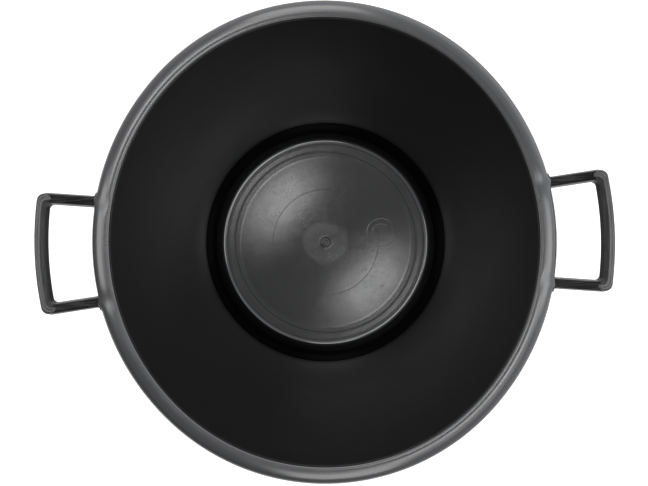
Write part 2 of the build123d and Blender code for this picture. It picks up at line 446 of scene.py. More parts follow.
class Finishes:
    """Builds the shared node groups once and a material for each finish.

    The values named for an effect and for dull or pale say how far it goes into the dullness or the
    paleness. Radii and heights are in millimetres.
    """

    refraction = 1.6
    shine_tint = (0.955, 0.970, 1.0, 1.0)
    skin_roughness = 0.30
    band_dull = 0.25
    cloud_dull, cloud_pale = 0.30, 0.46
    pit_dull = 0.40
    streak_pale = 0.45
    pale_dull = 0.15
    ring_outer, ring_inner = 19.0, 11.8
    ring_line, ring_height, ring_pale = 0.55, 0.07, 0.50
    hub = 4.0

    def __init__(self) -> None:
        """Makes the node groups that the finishes place."""
        self.skin = self.skin_group()
        self.turning = self.turning_group()
        self.flow = self.flow_group()
        self.drawn = self.drawn_group()
        self.rings = self.ring_group()
        self.made: dict[str, bpy.types.Material] = {}

    def skin_group(self) -> Tree:
        """The moulded skin: broad dullness, mottling, rubbed marks, fine grain and patches of pits.

        Returns:
            The group.
        """
        outputs = ("Dullness", "Mottle", "Rubbed", "Grain", "Pits")
        net, given, out = Net.group("moulded_skin", {"Vector": "Vector"}, outputs)
        place = given["Vector"]
        broad = net.noise(place, scale=7.0, detail=3.0)
        mottle = net.noise(place, scale=55.0, detail=4.0, rough=0.6)
        net.feed(out["Mottle"], net.ramp(mottle, 0.35, 0.65))
        net.feed(out["Dullness"], net.ramp(net.blend(broad, mottle, 0.35), 0.32, 0.68))
        marks = net.ramp(net.noise(place, scale=120.0, detail=6.0, rough=0.72), 0.56, 0.74)
        patches = net.ramp(net.noise(place, scale=16.0, detail=2.0), 0.48, 0.72)
        net.feed(out["Rubbed"], net.times(marks, patches))
        fine = net.noise(place, scale=1400.0, detail=2.0)
        soft = net.noise(place, scale=260.0, detail=3.0)
        net.feed(out["Grain"], net.blend(fine, soft, 0.4))
        holes = net.ramp(net.noise(place, scale=480.0, detail=3.0, rough=0.6), 0.54, 0.68)
        pitted = net.ramp(net.noise(place, scale=42.0, detail=3.0, rough=0.6), 0.42, 0.58)
        net.feed(out["Pits"], net.times(holes, pitted))
        return net.tree

    def turning_group(self) -> Tree:
        """Turning marks of the mould: noise of the sum of the distance from the Z axis and the height.

        Returns:
            The group.
        """
        inputs = {"Vector": "Vector", "Pitch": "Float"}
        net, given, out = Net.group("turning_marks", inputs, ("Line", "Band", "Distance"))
        parts = net.split(given["Vector"])
        radius = net.distance(parts)
        along = net.maths("ADD", radius, parts[2])
        net.feed(out["Distance"], radius)
        net.feed(out["Line"], net.noise(along, scale=given["Pitch"], detail=2.0, line=True))
        band = net.noise(along, scale=130.0, detail=3.0, line=True)
        net.feed(out["Band"], net.ramp(band, 0.3, 0.7))
        return net.tree

    def flow_group(self) -> Tree:
        """Streaks left by the plastic as it flowed from the gate: noise that is long along the radius.

        The noise is read at the unit vector from the axis, so it changes quickly round the axis, and at
        a small share of the distance and height, so it changes slowly outwards and up the wall. Inside
        the hub the streaks no longer draw together.

        Returns:
            The group.
        """
        net, given, out = Net.group("flow_marks", {"Vector": "Vector"}, ("Streak",))
        parts = net.split(given["Vector"])
        radius = net.maths("MAXIMUM", net.distance(parts), self.hub * MM)
        place = {axis: net.maths("DIVIDE", parts[axis], radius) for axis in (0, 1)}
        place[2] = net.times(net.maths("ADD", radius, parts[2]), 9.0)
        streak = net.noise(net.add("CombineXYZ", place).outputs[0], scale=3.2, detail=5.0, rough=0.62)
        net.feed(out["Streak"], net.ramp(streak, 0.3, 0.7))
        return net.tree

    def drawn_group(self) -> Tree:
        """Streaks along a bar: noise of the place with one axis squeezed, so that it is long that way.

        Returns:
            The group.
        """
        inputs = {"Vector": "Vector", "Squeeze": "Vector"}
        net, given, out = Net.group("drawn_streaks", inputs, ("Streak",))
        place = net.vectors("MULTIPLY", given["Vector"], given["Squeeze"])[0]
        net.feed(out["Streak"], net.noise(place, scale=620.0, detail=3.0, rough=0.6))
        return net.tree

    def ring_group(self) -> Tree:
        """Two rings about a point: 1 on each ring, falling to 0 within the width of its line.

        Returns:
            The group.
        """
        inputs = {"Vector": "Vector", "Middle": "Vector", "Outer": "Float", "Inner": "Float"}
        net, given, out = Net.group("insert_rings", inputs, ("Ring",))
        away = net.distance(net.split(net.vectors("SUBTRACT", given["Vector"], given["Middle"])[0]))
        rings = []
        for ring in ("Outer", "Inner"):
            off = net.maths("ABSOLUTE", net.maths("SUBTRACT", away, given[ring]))
            rings.append(net.ramp(off, self.ring_line * MM, 0.0))
        net.feed(out["Ring"], net.maths("MAXIMUM", *rings))
        return net.tree

    def material(self, finish: Plastic) -> bpy.types.Material:
        """The material of a finish, built the first time it is asked for, on Object coordinates.

        Its paleness, dullness and height are sums over the effects that the finish has. Paleness mixes
        the two colours, dullness the two roughnesses, and height goes to the bump.

        Args:
            finish: The finish.

        Returns:
            The material.
        """
        if finish.name in self.made:
            return self.made[finish.name]
        material = self.made[finish.name] = bpy.data.materials.new(finish.name)
        material.use_nodes = True
        net = Net(material.node_tree)
        shader = net.tree.nodes["Principled BSDF"].inputs
        net.feed(shader["IOR"], self.refraction)
        net.feed(shader["Specular IOR Level"], finish.shine)
        net.feed(shader["Specular Tint"], self.shine_tint)
        place = net.add("TexCoord", {}).outputs["Object"]
        skin = net.use(self.skin, Vector=place)
        turning = net.use(self.turning, Vector=place, Pitch=finish.pitch / MM)
        pale = net.times(skin["Rubbed"], finish.scuffs)
        dull = net.blend(skin["Dullness"], turning["Band"], self.band_dull)
        height = net.more(net.times(skin["Grain"], finish.grain), turning["Line"], finish.lines)
        if finish.flow:
            dull = net.blend(dull, net.use(self.flow, Vector=place)["Streak"], finish.flow)
        if finish.blush:
            cloud = self.cloud(net, place, turning["Distance"], finish.blush * MM)
            dull = net.more(dull, cloud, self.cloud_dull)
            pale = net.more(pale, cloud, self.cloud_pale)
        if finish.waves:
            height = net.more(height, skin["Mottle"], finish.waves)
        if finish.pits:
            height = net.more(height, skin["Pits"], -finish.pits)
            dull = net.more(dull, skin["Pits"], self.pit_dull)
        if finish.drawn:
            streak = net.use(self.drawn, Vector=place, Squeeze=finish.grain_runs.value)["Streak"]
            height = net.more(height, streak, finish.drawn)
            pale = net.more(pale, net.ramp(streak, 0.42, 0.62), self.streak_pale)
        if finish.accent:
            own = net.add("Attribute", {}, attribute_name="smooth").outputs["Fac"]
            net.feed(shader["Coat Weight"], net.times(own, finish.accent))
            net.feed(shader["Coat Roughness"], self.skin_roughness)
        if finish.stamp:
            middle = (finish.stamp[0] * MM, finish.stamp[1] * MM, 0.0)
            outer, inner = self.ring_outer * MM, self.ring_inner * MM
            ring = net.use(self.rings, Vector=place, Middle=middle, Outer=outer, Inner=inner)["Ring"]
            height = net.more(height, ring, self.ring_height)
            pale = net.more(pale, ring, self.ring_pale)
        ends = {"A": (*finish.black, 1.0), "B": (*finish.scuffed, 1.0), "Factor": pale}
        net.feed(shader["Base Color"], net.add("Mix", ends, data_type="RGBA").outputs["Result"])
        rough = net.more(finish.gloss, dull, finish.dull - finish.gloss)
        net.feed(shader["Roughness"], net.maths("MULTIPLY_ADD", pale, self.pale_dull, rough, clamp=True))
        bump = net.add("Bump", {"Strength": 1.0, "Distance": MM, "Height": height})
        net.feed(shader["Normal"], bump.outputs["Normal"])
        return material

    @staticmethod
    def cloud(net: Net, place: Socket, distance: Socket, radius: float) -> Socket:
        """Adds the cloudy patch about the gate: a ragged disc whose cloud is patchy.

        Args:
            net: The material's net.
            place: Its coordinates.
            distance: The distance from the axis.
            radius: About how far the patch reaches, in metres.

        Returns:
            The cloud, from 0 to 1.
        """
        ragged = net.more(distance, net.noise(place, scale=48.0, detail=2.0), 0.5 * radius)
        disc = net.ramp(ragged, 1.36 * radius, 1.06 * radius)
        patchy = net.ramp(net.noise(place, scale=75.0, detail=1.5), 0.25, 0.75)
        return net.times(net.more(0.65, patchy, 0.35), disc)


FLOOR_FINISH = Plastic(
    name="floor_turned_plastic",
    black=(0.0040, 0.0040, 0.0043),
    scuffed=(0.050, 0.050, 0.052),
    scuffs=0.12, gloss=0.13, dull=0.20, shine=0.55,
    grain=0.004, lines=0.003, pitch=0.8, pits=0.022, waves=0.025,
    flow=0.45, blush=30.0, stamp=(74.1, 9.7),
)
WALL_FINISH = Plastic(
    name="wall_plastic",
    black=(0.0030, 0.0030, 0.0033),
    scuffed=(0.030, 0.030, 0.032),
    scuffs=0.15, gloss=0.27, dull=0.36, shine=0.9,
    grain=0.008, lines=0.003, flow=0.35,
)
# Painted shade near the crease: the wall's steep inward faces reflect less just above it, in two steps.
EDGE_SHADE_FINISH = replace(WALL_FINISH, name="wall_edge_painted_shade", shine=0.60)
CREASE_SHADE_FINISH = replace(WALL_FINISH, name="wall_crease_painted_shade", shine=0.30)
# Painted shade at the base corner: its black is darker than the wall's. Its low roughness is the finish's
# own.
CORNER_SHADE_FINISH = Plastic(
    name="corner_polished_painted_shade",
    black=(0.0007, 0.0007, 0.0008),
    scuffed=(0.012, 0.012, 0.013),
    scuffs=0.1, gloss=0.08, dull=0.14, shine=0.9,
    grain=0.003, lines=0.002,
)
# Painted shade on the corner's steep band: an even darker black with its reflection turned almost off.
BAND_SHADE_FINISH = Plastic(
    name="corner_band_painted_shade",
    black=(0.0005, 0.0005, 0.0006),
    scuffed=(0.010, 0.010, 0.011),
    scuffs=0.1, gloss=0.12, dull=0.20, shine=0.08,
    grain=0.004, lines=0.002,
)
# The band's foot keeps the band's painted darker black but gets its reflection back.
FOOT_FINISH = replace(BAND_SHADE_FINISH, name="corner_foot_plastic", shine=0.80)
OUTSIDE_FINISH = Plastic(
    name="outside_satin_plastic",
    black=(0.0032, 0.0032, 0.0035),
    scuffed=(0.030, 0.030, 0.032),
    scuffs=0.35, gloss=0.30, dull=0.50, shine=0.40,
    grain=0.012, lines=0.004, pitch=0.4, waves=0.02, flow=0.45,
)
RIM_FINISH = Plastic(
    name="rim_plastic",
    black=(0.0042, 0.0042, 0.0045),
    scuffed=(0.045, 0.045, 0.048),
    scuffs=0.30, gloss=0.21, dull=0.29, shine=0.9,
    grain=0.006,
)
HANDLE_FINISH = Plastic(
    name="handle_matt_plastic",
    black=(0.0022, 0.0022, 0.0024),
    scuffed=(0.048, 0.048, 0.050),
    scuffs=0.4, gloss=0.60, dull=0.74, shine=0.10,
    grain=0.020, drawn=0.04, grain_runs=Axis.X, accent=0.38,
)
GRIP_FINISH = Plastic(
    name="grip_rubbed_plastic",
    black=(0.0040, 0.0040, 0.0042),
    scuffed=(0.045, 0.045, 0.047),
    scuffs=0.7, gloss=0.22, dull=0.34, shine=0.55,
    grain=0.014, drawn=0.14,
)
# Painted shade on the grip's inward slope: the grip's plastic in a paler grey, rougher and less reflective.
GRIP_SLOPE_SHADE_FINISH = replace(
    GRIP_FINISH,
    name="grip_slope_painted_shade",
    black=(0.0150, 0.0150, 0.0155),
    scuffed=(0.050, 0.050, 0.052),
    gloss=0.48, dull=0.64, shine=0.25,
)


@dataclass
class Dresser:
    """Gives a finished piece its material and hides the node that it stands for.

    Attributes:
        finishes: The materials.
    """

    finishes: Finishes

    def dress(self, piece: Piece, finish: Plastic, slot: Slot, node: str) -> Piece:
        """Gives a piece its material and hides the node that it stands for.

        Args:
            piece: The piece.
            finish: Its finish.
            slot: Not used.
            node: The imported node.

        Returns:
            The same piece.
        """
        piece.data.materials.append(self.finishes.material(finish))
        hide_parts(node)
        LOG.info("%s stands for %s, %d faces", piece.name, node, len(piece.data.polygons))
        return piece

    def dress_again(self, piece: Piece, finish: Plastic, chosen: Array) -> None:
        """Gives some faces of a piece a further finish.

        Args:
            piece: The piece, which already has its first finish.
            finish: The further one.
            chosen: Which faces get it, one truth value per face.
        """
        faces = piece.data.polygons
        worn = np.empty(len(faces), np.int32)
        faces.foreach_get("material_index", worn)
        worn[chosen] = len(piece.data.materials)
        piece.data.materials.append(self.finishes.material(finish))
        faces.foreach_set("material_index", worn)

    @staticmethod
    def facing(piece: Piece, middle_x: float) -> tuple[Array, Array, Array]:
        """How far each face looks away from an upright line, how far it looks up, and its height.

        The first is its normal times the unit vector that points level from the line to its centre, the
        second is its normal's Z, and the third is its centre's Z in millimetres.

        Args:
            piece: The piece.
            middle_x: X of the line, in millimetres. Its Y is 0.

        Returns:
            The three values, one each per face.
        """
        faces = piece.data.polygons
        normal, centre = np.empty((2, 3 * len(faces)), np.float32)
        faces.foreach_get("normal", normal)
        faces.foreach_get("center", centre)
        normal, centre = normal.reshape(-1, 3), centre.reshape(-1, 3)
        level = centre[:, :2] - np.array([middle_x * MM, 0.0])
        away = np.sum(normal[:, :2] * level, axis=1) / np.linalg.norm(level, axis=1)
        return away, normal[:, 2], centre[:, 2] / MM


@dataclass
class TubShell:
    """The tub without its handles: rim, wall, slanted corner, floor and standing ring.

    All sizes are in millimetres. A wave in the wall has its height, how many there are round the tub,
    its turn, its length up the wall and its lift. The values from looks_out to steep tell faces apart
    by where they look.
    """

    height: float = 340.0
    rim_width: float = 17.8
    crown_in: float = 11.3
    crown_depth: float = 7.0
    crown_drop: float = 2.5
    shell: float = 3.2
    seat_drop: float = 8.0
    seat_edge: float = 0.2
    hollow_drop: float = 3.5
    skirt_drop: float = 24.5
    root_dent: Bell = Bell(0.7, 51.65, 8.5)
    root_pad: Bell = Bell(2.4, 51.65, 4.6)
    pad_low: Slope = Slope(-19.0, -14.0)
    pad_high: Slope = Slope(-0.3, -5.0)
    wall: float = 4.0
    waves: tuple[tuple[float, ...], ...] = ((0.22, 3, 0.7, 47, math.pi / 2), (0.12, 7, 2.1, 29, 1.0))
    ridges: tuple[Bell, ...] = (Bell(0.20, 3.5, 1.0), Bell(0.12, 13.0, 0.9))
    close_rows: float = 20.0
    crease_height: float = 49.0
    crease_radius: float = 154.0
    edge_reach: float = 9.0
    crease_reach: float = 4.0
    foot_shine: float = 24.0
    floor_top: float = 10.0
    floor_crown: float = 5.0
    floor_crown_radius: float = 113.0
    floor_tilt: float = 0.012
    floor_edge: float = 127.0
    floor_edge_slope: float = 0.105
    gate_lip: Bell = Bell(0.28, 7.6, 0.8)
    gate_dimple: Slope = Slope(6.9, 5.4, -1.0)
    gate_stub: Slope = Slope(3.6, 2.2, 0.6)
    fine_circle: Bell = Bell(-0.05, 69.0, 1.0)
    ring_step: Slope = Slope(118.9, 119.3, -0.18)
    ring_end: float = 121.9
    corner_foot: float = 136.6
    corner_round: float = 8.0
    seam_radius: float = 130.7
    seam_gap: float = 0.2
    seam_edge: float = 0.4
    underside: float = 6.0
    foot_width: float = 9.0
    foot_lean: float = 0.85
    columns: int = 480
    looks_out: float = 0.9
    looks_down: float = -0.2
    looks_in: float = -0.8
    steep: float = 0.47
    dresser: Dresser = field(kw_only=True)

    def build(self) -> None:
        """Builds and dresses every piece of the shell and seats it on the tub's body.

        Faces that look outwards or down get the outside finish. Steep ones that look inwards get painted
        shade below a height: weaker reflection on the wall near the crease, and a darker black with almost
        no reflection on the corner's band, with more reflection near its foot.
        """
        crease = self.crease_height
        # Painted shade: steep inward faces reflect less near the crease, and the corner's band is near-black.
        edge = ((EDGE_SHADE_FINISH, crease + self.edge_reach), (CREASE_SHADE_FINISH, crease + self.crease_reach))
        band = ((BAND_SHADE_FINISH, math.inf), (FOOT_FINISH, self.foot_shine))
        made = (
            (self.rolled_rim(), RIM_FINISH, "rim", ()),
            (self.tapered_wall(), WALL_FINISH, "tub_wall", edge),
            (self.slanted_corner(), CORNER_SHADE_FINISH, "base_corner", band),
            (self.floor_plate(), FLOOR_FINISH, "floor", ()),
            (self.standing_ring(), OUTSIDE_FINISH, "foot_ring", ()),
        )
        for piece, finish, node, inner in made:
            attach(self.dresser.dress(piece, finish, Slot.TUB, node), "tub")
            away, up, high = Dresser.facing(piece, 0.0)
            outside = (away > self.looks_out) | (up < self.looks_down)
            self.dresser.dress_again(piece, OUTSIDE_FINISH, outside)
            inside = (away < self.looks_in) & (up < self.steep)
            for further, below in inner:
                self.dresser.dress_again(piece, further, inside & (high < below))

    @property
    def angles(self) -> Array:
        """Normal angles of the columns, all the way round."""
        return np.linspace(0, TURN, self.columns, endpoint=False)

    def rim_section(self) -> Array:
        """The rim's section, in order all the way round.

        The crown is a quarter of an ellipse outside and a flatter quarter inside, which share their top.
        The hollow under it has an outer quarter that is smaller by the shell, and a level inner part.
        The skirt hangs below it and has two rounded lower corners.

        Returns:
            x out from the rim's edge and z up from its crown, one row each.
        """
        crown = np.array([self.crown_in, self.crown_depth])
        inner = np.array([self.rim_width - self.crown_in, self.crown_drop])
        quarter = np.linspace(0, math.pi / 2, 26)
        lip, seat, edge = -self.rim_width, -self.seat_drop, self.seat_edge
        low = -self.skirt_drop
        skirt = np.array([(0, low / 2), (0, low), (-self.shell, low), (-self.shell, low / 2)])
        lower = rounded_loop(skirt, [0.05, 1.2, 1.0, 0.05], steps=6)[6:18]  # its two lower corners
        return np.vstack(
            [
                -crown + unit(quarter) * crown,
                (-self.crown_in, -self.crown_drop) + unit(math.pi / 2 + quarter[1:]) * inner,
                [(lip, seat + 2 * edge), (lip, seat + edge), (lip + edge, seat)],
                [(lip + self.wall, seat), (lip + self.wall, -self.hollow_drop)],
                -crown + unit(quarter[::-3]) * (crown - self.shell),
                lower[::-1],
            ]
        )

    def rolled_rim(self) -> Piece:
        """The rim: its section of crown, inner edge, hollow and skirt, carried round the oval.

        At the four handle roots a bell-shaped dent takes the crown down, most at its top, and a
        bell-shaped pad swells its outer side towards the arm.

        Returns:
            The piece.
        """
        section = spread_points(self.rim_section(), step=2.5)
        across, up = section.T
        angle = self.angles
        along = np.abs(RIM_EDGE.side_radius * np.sin(angle))
        crown = Slope(-self.crown_depth, 0).at(up) * Slope(-self.rim_width, -self.crown_in).at(across)
        hollow = (up < -self.crown_depth) & (across < -0.5 * self.shell)
        outside = self.pad_low.at(up) * self.pad_high.at(up) * (across > -self.crown_in) * ~hollow
        dent = np.outer(crown, self.root_dent.at(along))
        out = section[:, :1] - 0.5 * dent + np.outer(outside, self.root_pad.at(along))
        points = carried_round(np.ones(len(section)), out, self.height + section[:, 1:] - dent, angle)
        return piece_from_grid("rolled_rim", points, End.JOINED)

    def tapered_wall(self) -> Piece:
        """The wall: up its inner face, over its top and down its outer face.

        Both faces are straight between the circle of the crease and the rim's inner edge, and turn from
        round to oval on the way up. Slow waves of a few tenths of a millimetre, each the product of a
        wave round the tub and one up the wall, keep the reflections alive. Two fine bell-shaped ridges
        run round the inner face just over the crease, where the rows are close.

        Returns:
            The piece.
        """
        first, last = self.crease_height, self.height - self.seat_drop
        open_start = first + self.close_rows
        close = np.arange(first, open_start, 0.5)
        up = np.concatenate([close, np.linspace(open_start, last - 0.3, 52), [last]])
        share = (up - first) / (last - first)
        out = (1 - share) * self.crease_radius - share * self.rim_width
        ridges = sum(ridge.at(up - first) for ridge in self.ridges)
        outs = np.concatenate([out - ridges, out[::-1] + self.wall])
        shares, height = np.hstack([(share, up), (share[::-1], up[::-1])])
        fade = np.tile(np.sin(math.pi * share), 2)
        angle = self.angles
        wave = np.zeros((len(height), len(angle)))
        for size, times, turn, length, lift in self.waves:
            wave += size * np.outer(np.sin(height / length + lift), np.sin(times * angle + turn))
        points = carried_round(shares, outs[:, None] + wave * fade[:, None], height[:, None], angle)
        return piece_from_grid("tapered_wall", points, End.JOINED)

    def slanted_corner(self) -> Piece:
        """The slanted band between floor and wall, turned about the axis, with a round at its foot.

        Returns:
            The piece.
        """
        seam_top = self.floor_top + float(self.edge_rise(np.array(self.seam_radius)))
        foot_top = seam_top + (self.corner_foot - self.seam_radius) * self.floor_edge_slope
        slope = (self.crease_height - foot_top) / (self.crease_radius - self.corner_foot)
        drop = self.wall * math.hypot(1, slope)
        outer = self.crease_radius + self.wall
        corners = np.array(
            [
                (self.seam_radius, self.underside),
                (self.seam_radius, seam_top),
                (self.corner_foot, foot_top),
                (self.crease_radius, self.crease_height),
                (outer, self.crease_height),
                (outer, self.crease_height + self.wall * slope - drop),
                (self.corner_foot + (drop - self.wall) / slope, self.underside),
            ]
        )
        radii = [0.1, 0.2, self.corner_round, 0.05, 0.05, 3.0, 0.4]
        section = spread_points(rounded_loop(corners, radii, steps=16), step=3.0)
        return turned("slanted_corner", section, self.angles)

    def edge_rise(self, radius: Array) -> Array:
        """Rise of the floor past its crown: a slight even tilt, and near the edge a parabola on top.

        The parabola makes up what the tilt lacks of the edge's slope at the seam.

        Args:
            radius: Distances from the axis.

        Returns:
            The rise at each.
        """
        tilted = self.floor_tilt * np.maximum(radius - self.floor_crown_radius, 0)
        past = np.maximum(radius - self.floor_edge, 0)
        lacking = self.floor_edge_slope - self.floor_tilt
        return tilted + past**2 * lacking / (2 * (self.seam_radius - self.floor_edge))

    def crown_rise(self, radius: Array) -> Array:
        """Rise of the floor's crown: a cap of the sphere through its middle and its edge, flat beyond.

        Args:
            radius: Distances from the axis.

        Returns:
            The rise at each.
        """
        ball = (self.floor_crown_radius**2 + self.floor_crown**2) / (2 * self.floor_crown)
        within = np.minimum(radius, self.floor_crown_radius)
        return np.sqrt(ball**2 - within**2) - (ball - self.floor_crown)

    def floor_plate(self) -> Piece:
        """The floor disc: its height as a function of the distance from the axis, turned about the axis.

        A shallow cap of a sphere crowns the middle. The gate mark is a dimple inside a raised lip, with a
        low stub in its middle, and a fine circle and a stepped ring, which drops and ramps up again, lie
        further out, where the rows are close. The edge rises a little. The underside follows the crown.

        Returns:
            The piece.
        """
        edge = self.seam_radius - self.seam_gap
        rounded = edge - self.seam_edge
        rows = ((0, 10, 56), (10.8, 66, 40), (66.5, 72, 14), (73, 114, 28), (114.5, 126, 48))
        radius = np.concatenate([np.linspace(*row) for row in (*rows, (126.4, rounded, 10))])
        ramp = np.clip((self.ring_end - radius) / (self.ring_end - self.ring_step.end), 0, 1)
        top = self.floor_top + self.crown_rise(radius) + self.edge_rise(radius)
        for mark in (self.gate_lip, self.gate_dimple, self.gate_stub, self.fine_circle):
            top += mark.at(radius)
        top += self.ring_step.at(radius) * ramp
        side = [(edge - 0.12, top[-1] - 0.04), (edge, top[-1] - 0.3), (edge, self.underside + self.seam_edge)]
        under = np.concatenate([[rounded], np.linspace(self.floor_crown_radius, 0, 24)])
        low = self.underside + self.crown_rise(under)
        profile = np.vstack([np.stack([radius, top], axis=1), side, np.stack([under, low], axis=1)])
        return turned("floor_plate", profile, self.angles[::2], End.POLES)

    def standing_ring(self) -> Piece:
        """The rib that the tub stands on: a drafted section with rounded lower edges, turned round.

        Returns:
            The piece.
        """
        half = self.foot_width / 2
        level = half - self.foot_lean
        corners = np.array([(-level, 0), (level, 0), (half, self.underside), (-half, self.underside)])
        section = rounded_loop(corners + (self.seam_radius, 0), [1.0, 1.0, 0.1, 0.1], steps=7)
        return turned("standing_ring", section, self.angles[::2])


@dataclass
class LoopHandle:
    """One loop handle: the bow of two arms and a bar core, and the grip over the bar.

    All sizes are in millimetres. The path runs from the +Y root round the bar to the -Y root, along an
    outer and an inner line, and a section stands between the two lines at each step. The drop to the
    core is measured from where the tongues are full, and the smooth side from the top of the arms.
    """

    side: Side
    low: float = 316.5
    depth: float = 17.0
    arm_step: float = 0.8
    core_depth: float = 10.0
    draft: float = 1.70
    width: float = 12.2
    root_x: float = 236.5
    corner_x: float = 288.5
    bow: float = 6.0
    root_half: float = 57.75
    tip_half: float = 63.5
    corner_round: float = 8.0
    opening_round: float = 5.0
    buried_x: float = 226.0
    close_end: float = 246.0
    flare: float = 5.0
    top_fillet: float = 3.0
    arm_round: float = 3.4
    arm_low_round: float = 0.8
    grip_round: float = 2.4
    grip_crest: float = -1.4
    grip_slope: float = 3.4
    grip_start: float = 273.5
    grip_line: Bell = Bell(0.3, 0.9, 0.5)
    grip_bury: float = 0.3
    tongue: float = 5.0
    tip_lead: float = 0.1
    tip_sink: float = 0.2
    core_drop: Slope = Slope(0.2, 0.9)
    smooth_side: Slope = Slope(-0.9, -2.4)
    bend_start: float = 224.5
    bend_end: float = 252.5
    looks_in: float = -0.3
    dresser: Dresser = field(kw_only=True)

    def build(self) -> None:
        """Builds both pieces, bakes the bow's placement into its mesh and seats the grip on the handle's
        body.
        """
        body = f"handle_{self.side.word}"
        bow = self.dresser.dress(self.loop_bow(), HANDLE_FINISH, Slot.HANDLE, f"handle_bow_{self.side.word}")
        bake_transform(bow)
        grip = self.dresser.dress(self.bar_grip(), GRIP_FINISH, Slot.GRIP, f"grip_{self.side.word}")
        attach(grip, body)
        # The grip's faces that look inwards get the painted grey shade.
        away, _, _ = Dresser.facing(grip, self.side.value * 0.5 * (self.root_x + self.corner_x))
        self.dresser.dress_again(grip, GRIP_SLOPE_SHADE_FINISH, away < self.looks_in)

    def edge(self, inset: float, rounding: float) -> Array:
        """One edge of the loop in plan, from root to root: arm, rounded corner, bar, corner and arm.

        The arms are straight and splayed and the bar is an arc about a point on the X axis. The corner's
        centre lies the rounding inside both: on the arm's line moved inwards by it and on the bar's
        circle made smaller by it, so it is a root of the quadratic for where that line meets that circle.

        Args:
            inset: How far the edge lies inside the outer one.
            rounding: The radius of its corners.

        Returns:
            x and y of its points. All edges have the same number, opposite each other.
        """
        splay = math.atan((self.tip_half - self.root_half) / (self.corner_x - self.root_x))
        along = np.array([math.cos(splay), math.sin(splay)])
        out = np.array([-along[1], along[0]])
        outer_arc = (self.tip_half**2 + self.bow**2) / (2 * self.bow)
        middle = np.array([self.corner_x + self.bow - outer_arc, 0.0])
        line = out @ (self.root_x, self.root_half) - inset
        arc = outer_arc - inset
        start = (line - rounding) * out - middle
        reach = math.sqrt((start @ along) ** 2 - start @ start + (arc - rounding) ** 2) - start @ along
        from_middle = start + reach * along
        corner = middle + from_middle
        bar_turn = math.atan2(from_middle[1], from_middle[0])
        rows = (
            (self.buried_x, self.close_end, 26),
            (self.close_end + 2, self.grip_start - 3, 10),
            (self.grip_start - 2, corner[0] + rounding * out[0], 24),
        )
        x = np.concatenate([np.linspace(*row) for row in rows])
        arm = np.stack([x, (line - out[0] * x) / out[1]], axis=1)
        bend = corner + rounding * unit(np.linspace(splay + math.pi / 2, bar_turn, 14)[1:-1])
        bar = middle + arc * unit(np.linspace(bar_turn, -bar_turn, 61))
        half = np.vstack([arm, bend])
        return np.vstack([half, bar, half[::-1] * (1, -1)])

    def edges(self) -> tuple[Array, Array, Array]:
        """The outer and the inner edge of the loop, and X of the line halfway between them."""
        outer, inner = self.edge(0.0, self.corner_round), self.edge(self.width, self.opening_round)
        return outer, inner, 0.5 * (outer[:, 0] + inner[:, 0])

    def between(self, outer: Array, inner: Array, across: Array, height: Array) -> Array:
        """Points of a section that stands between two edges, for this side.

        A point is the middle of the edges plus its share of half the way across, at its height. The
        left handle is the right one turned half round the axis.

        Args:
            outer: The outer edge, one row per step.
            inner: The inner edge.
            across: Shares of half the way across, as steps by section, or as one row for all steps.
            height: Heights over the handle's lower face, as steps by section.

        Returns:
            Points as steps by section by three.
        """
        flat = 0.5 * (outer + inner)[:, None] + 0.5 * across[..., None] * (outer - inner)[:, None]
        points = np.concatenate([flat, (self.low + height)[..., None]], axis=-1)
        return points * (self.side.value, self.side.value, 1.0)

    def loop_bow(self) -> Piece:
        """The two arms and the core of the bar: a drafted section carried along the loop.

        At the roots a quarter-round flare widens the section and lifts its top where it meets the rim.
        Past the grip's tips the top drops to the core that the grip covers. The sides are marked smooth.

        Returns:
            The piece.
        """
        outer, inner, middle_x = self.edges()
        clear = middle_x - RIM_EDGE.side_x(0.5 * (outer[:, 1] + inner[:, 1]))
        wider = np.sign(outer[:, 1]) * self.quarter_flare(clear, self.flare)
        aside = np.stack([np.zeros_like(wider), wider], axis=1)
        covered = self.core_drop.at(middle_x - self.grip_start - self.tongue)
        arm_depth = self.depth - self.arm_step
        top = arm_depth + (self.core_depth - arm_depth) * covered + self.quarter_flare(clear, self.top_fillet)
        half = self.width / 2
        top_half = half - self.draft
        corners = np.array([(-half, 0), (half, 0), (top_half, arm_depth), (-top_half, arm_depth)])
        radii = [self.arm_low_round, self.arm_low_round, self.arm_round, self.arm_round]
        section = spread_points(rounded_loop(corners, radii, steps=9), step=2.0)
        height = np.outer(top / arm_depth, section[:, 1])
        points = self.between(outer + aside, inner - aside, section[None, :, 0] / half, height)
        bow = piece_from_grid(f"{self.side.word}_bow", points, End.CAPPED)
        smooth = np.tile(self.smooth_side.at(section[:, 1] - arm_depth), len(points))
        values = np.concatenate([smooth, [1.0, 1.0]])
        bow.data.attributes.new("smooth", "FLOAT", "POINT").data.foreach_set("value", values)
        return bow

    @staticmethod
    def quarter_flare(distance: Array, radius: float) -> Array:
        """A quarter-round fillet: the radius less the height of its circle, from 0 out to the radius."""
        inside = np.clip(distance, 0, radius)
        return radius - np.sqrt(radius**2 - (radius - inside) ** 2)

